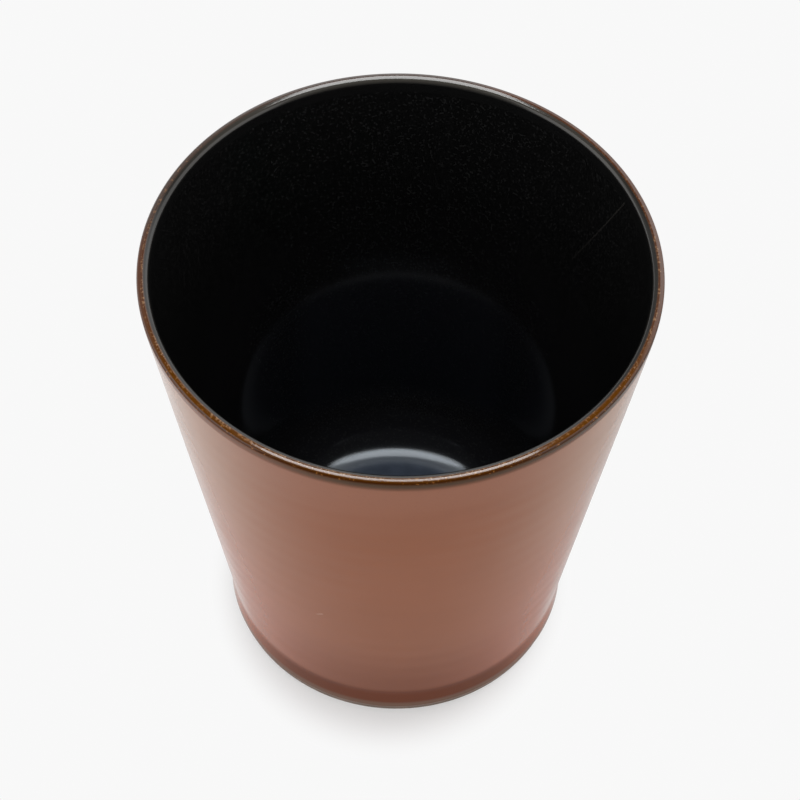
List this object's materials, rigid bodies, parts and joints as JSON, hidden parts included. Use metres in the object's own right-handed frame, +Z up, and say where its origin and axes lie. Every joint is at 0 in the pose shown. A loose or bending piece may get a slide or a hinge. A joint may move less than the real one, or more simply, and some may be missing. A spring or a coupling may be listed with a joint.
{
  "type": "conical cup",
  "caption": "Handleless conical stoneware drinking cup: satin rust outside, glossy black inside, amber lip, short upright foot to stand on.",
  "frame": {"origin": "on the table, under the middle of the foot", "axes": "+Z up along the cup's axis, from the foot to the mouth"},
  "size_m": [0.0798, 0.0798, 0.085],
  "materials": {
    "stoneware": "bare fired stoneware, matt and slightly gritty",
    "rust_glaze": "satin rust brown glaze with faint throwing marks",
    "amber_glaze": "gloss amber and dark brown break over the lip",
    "black_glaze": "gloss black lining"
  },
  "bodies": {
    "root": {"clay_body": "stoneware", "exterior_glaze": "rust_glaze", "rim_glaze": "amber_glaze", "interior_glaze": "black_glaze", "underside_glaze": "rust_glaze"}
  },
  "joints": []
}
